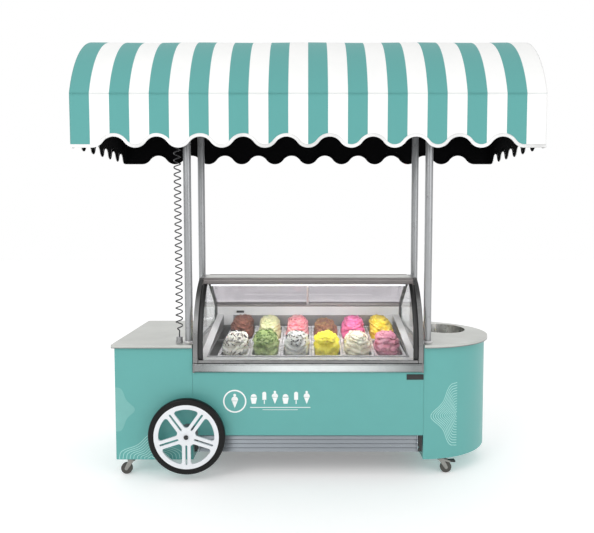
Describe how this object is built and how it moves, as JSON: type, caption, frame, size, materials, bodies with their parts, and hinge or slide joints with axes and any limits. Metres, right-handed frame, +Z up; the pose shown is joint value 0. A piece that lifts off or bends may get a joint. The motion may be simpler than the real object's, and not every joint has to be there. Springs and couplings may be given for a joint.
{
  "type": "push vending cart",
  "caption": "Push cart for gelato with a curved glass display, side counters and a lifting cloth canopy.",
  "frame": {"origin": "on the floor, under the middle of the canopy", "axes": "+X along the cart to the customer's right, -Y towards the customer, +Z up"},
  "size_m": [2.47, 1.056, 2.4394],
  "materials": {
    "teal_panel": "satin",
    "frame_steel": "satin",
    "counter_steel": "satin",
    "polished_steel": "polished",
    "grille_aluminium": "satin",
    "rail_aluminium": "satin",
    "case_grey": "satin",
    "white_plastic": "gloss",
    "insulation": "matte",
    "liner_steel": "satin",
    "pan_steel": "polished",
    "gelato_front": "matte",
    "gelato_back": "matte",
    "clear_glass": "gloss",
    "door_glass": "gloss",
    "seal_rubber": "matte",
    "lamp_white": "gloss",
    "machine_black": "satin",
    "condenser_fins": "matte",
    "post_steel": "satin",
    "canopy_cloth": "matte",
    "canopy_frame_aluminium": "matte",
    "gland_plastic": "matte",
    "cord_jacket": "satin",
    "wheel_white": "satin",
    "tyre_black": "matte",
    "axle_steel": "satin",
    "castor_steel": "satin",
    "castor_rubber": "matte",
    "pedal_plastic": "matte"
  },
  "bodies": {
    "root": {"chassis_frame": "frame_steel", "left_cabinet": "teal_panel", "right_cabinet": "teal_panel", "front_panel": "teal_panel", "back_panel": "teal_panel", "left_countertop": "counter_steel", "right_countertop": "counter_steel", "sink_basin": "counter_steel", "air_grilles": "grille_aluminium", "tub_casing": "counter_steel", "tub_insulation": "insulation", "tub_liner": "liner_steel", "tub_rim": "white_plastic", "pan_rack": "liner_steel", "gelato_pans": "pan_steel", "front_gelato": "gelato_front", "back_gelato": "gelato_back", "bumper_rail": "polished_steel", "case_end_frames": "case_grey", "side_glass": "clear_glass", "glass_seals": "seal_rubber", "top_rail": "rail_aluminium", "top_shelf": "counter_steel", "led_strip": "lamp_white", "door_tracks": "rail_aluminium", "compressor": "machine_black", "condenser": "condenser_fins", "post_collars": "white_plastic", "post_guides": "frame_steel", "wheel_axles": "axle_steel", "castor_plates": "castor_steel", "lower_gland": "gland_plastic", "curly_cord": "cord_jacket"},
    "canopy": {"canopy_posts": "post_steel", "canopy_frame": "canopy_frame_aluminium", "canopy_roof": "canopy_cloth", "canopy_valances": "canopy_cloth", "canopy_gables": "canopy_cloth", "canopy_lamp": "lamp_white", "upper_gland": "gland_plastic"},
    "front_glass": {"front_glass": "clear_glass", "glass_clamp": "rail_aluminium"},
    "left_sliding_door": {"left_sliding_door": "door_glass"},
    "right_sliding_door": {"right_sliding_door": "door_glass"},
    "left_end_door": {"left_end_door": "teal_panel"},
    "right_round_door": {"right_round_door": "teal_panel"},
    "front_wheel": {"front_wheel_rim": "wheel_white", "front_tyre": "tyre_black"},
    "back_wheel": {"back_wheel_rim": "wheel_white", "back_tyre": "tyre_black"},
    "front_left_fork": {"front_left_castor_fork": "castor_steel"},
    "front_left_castor": {"front_left_castor_wheel": "castor_rubber"},
    "back_left_fork": {"back_left_castor_fork": "castor_steel"},
    "back_left_castor": {"back_left_castor_wheel": "castor_rubber"},
    "front_right_fork": {"front_right_castor_fork": "castor_steel"},
    "front_right_castor": {"front_right_castor_wheel": "castor_rubber"},
    "front_right_pedal": {"front_right_brake_pedal": "pedal_plastic"},
    "back_right_fork": {"back_right_castor_fork": "castor_steel"},
    "back_right_castor": {"back_right_castor_wheel": "castor_rubber"},
    "back_right_pedal": {"back_right_brake_pedal": "pedal_plastic"}
  },
  "joints": [
    {"name": "canopy_lift", "type": "slide", "parent": "root", "child": "canopy", "axis": [0, 0, 1], "range_m": [-0.4, 0], "deforming": ["curly_cord"]},
    {"name": "front_glass_hinge", "type": "hinge", "parent": "root", "child": "front_glass", "pos_m": [0, -0.214, 1.06218], "axis": [-1, 0, 0], "range_deg": [0, 55]},
    {"name": "left_sliding_door_slide", "type": "slide", "parent": "root", "child": "left_sliding_door", "axis": [1, 0, 0], "range_m": [0, 0.56]},
    {"name": "right_sliding_door_slide", "type": "slide", "parent": "root", "child": "right_sliding_door", "axis": [-1, 0, 0], "range_m": [0, 0.56]},
    {"name": "left_end_door_hinge", "type": "hinge", "parent": "root", "child": "left_end_door", "pos_m": [-1.06, 0.284, 0.4], "axis": [0, 0, -1], "range_deg": [0, 105]},
    {"name": "right_round_door_hinge", "type": "hinge", "parent": "root", "child": "right_round_door", "pos_m": [1.03401, 0.14741, 0.4], "axis": [0, 0, -1], "range_deg": [0, 95]},
    {"name": "front_wheel_spin", "type": "hinge", "parent": "root", "child": "front_wheel", "pos_m": [-0.657, -0.486, 0.244], "axis": [0, 1, 0], "continuous": true},
    {"name": "back_wheel_spin", "type": "hinge", "parent": "root", "child": "back_wheel", "pos_m": [-0.657, 0.486, 0.244], "axis": [0, 1, 0], "continuous": true},
    {"name": "front_left_swivel", "type": "hinge", "parent": "root", "child": "front_left_fork", "pos_m": [-0.985, -0.385, 0.08], "axis": [0, 0, 1], "continuous": true},
    {"name": "front_left_roll", "type": "hinge", "parent": "front_left_fork", "child": "front_left_castor", "pos_m": [-1.011, -0.385, 0.0315], "axis": [0, 1, 0], "continuous": true},
    {"name": "back_left_swivel", "type": "hinge", "parent": "root", "child": "back_left_fork", "pos_m": [-0.985, 0.385, 0.08], "axis": [0, 0, 1], "continuous": true},
    {"name": "back_left_roll", "type": "hinge", "parent": "back_left_fork", "child": "back_left_castor", "pos_m": [-1.011, 0.385, 0.0315], "axis": [0, 1, 0], "continuous": true},
    {"name": "front_right_swivel", "type": "hinge", "parent": "root", "child": "front_right_fork", "pos_m": [0.745, -0.365, 0.08], "axis": [0, 0, 1], "continuous": true},
    {"name": "front_right_roll", "type": "hinge", "parent": "front_right_fork", "child": "front_right_castor", "pos_m": [0.771, -0.365, 0.0315], "axis": [0, 1, 0], "continuous": true},
    {"name": "front_right_brake", "type": "hinge", "parent": "front_right_fork", "child": "front_right_pedal", "pos_m": [0.791, -0.365, 0.066], "axis": [0, 1, 0], "range_deg": [0, 16]},
    {"name": "back_right_swivel", "type": "hinge", "parent": "root", "child": "back_right_fork", "pos_m": [0.745, 0.365, 0.08], "axis": [0, 0, 1], "continuous": true},
    {"name": "back_right_roll", "type": "hinge", "parent": "back_right_fork", "child": "back_right_castor", "pos_m": [0.771, 0.365, 0.0315], "axis": [0, 1, 0], "continuous": true},
    {"name": "back_right_brake", "type": "hinge", "parent": "back_right_fork", "child": "back_right_pedal", "pos_m": [0.791, 0.365, 0.066], "axis": [0, 1, 0], "range_deg": [0, 16]}
  ]
}
